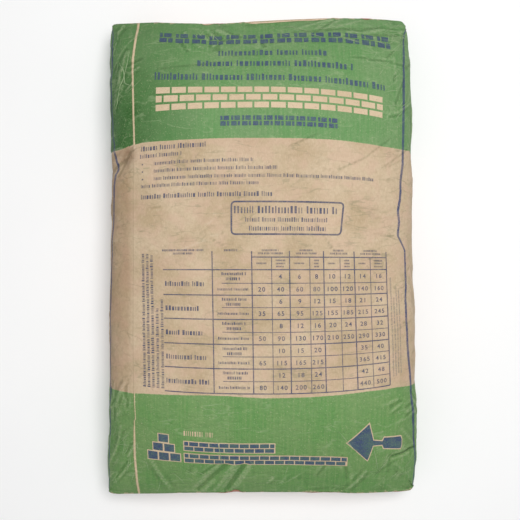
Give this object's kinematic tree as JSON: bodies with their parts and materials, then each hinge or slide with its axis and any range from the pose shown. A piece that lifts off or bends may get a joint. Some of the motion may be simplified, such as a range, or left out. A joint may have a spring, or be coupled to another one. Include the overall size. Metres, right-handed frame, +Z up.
{
  "type": "cement bag",
  "caption": "Filled block-bottom paper valve sack of cement, lying flat on its back, with folded and pasted ends and a valve sleeve in its corner.",
  "frame": {"origin": "on the floor under the middle of the sack", "axes": "+X across the sack, +Y along it towards the filling end with the valve, +Z up through the printed front"},
  "size_m": [0.453, 0.6872, 0.1509],
  "materials": {
    "printed_kraft": "matt kraft paper with green printed bands at both ends",
    "patch_paper": "matt kraft paper strip",
    "sleeve_paper": "matt plain kraft paper",
    "cement": "fine grey powder, settled"
  },
  "bodies": {
    "root": {"paper_sack": "printed_kraft", "cement_fill": "cement", "top_cover_patch": "patch_paper", "bottom_cover_patch": "patch_paper", "valve_sleeve": "sleeve_paper"}
  },
  "joints": []
}
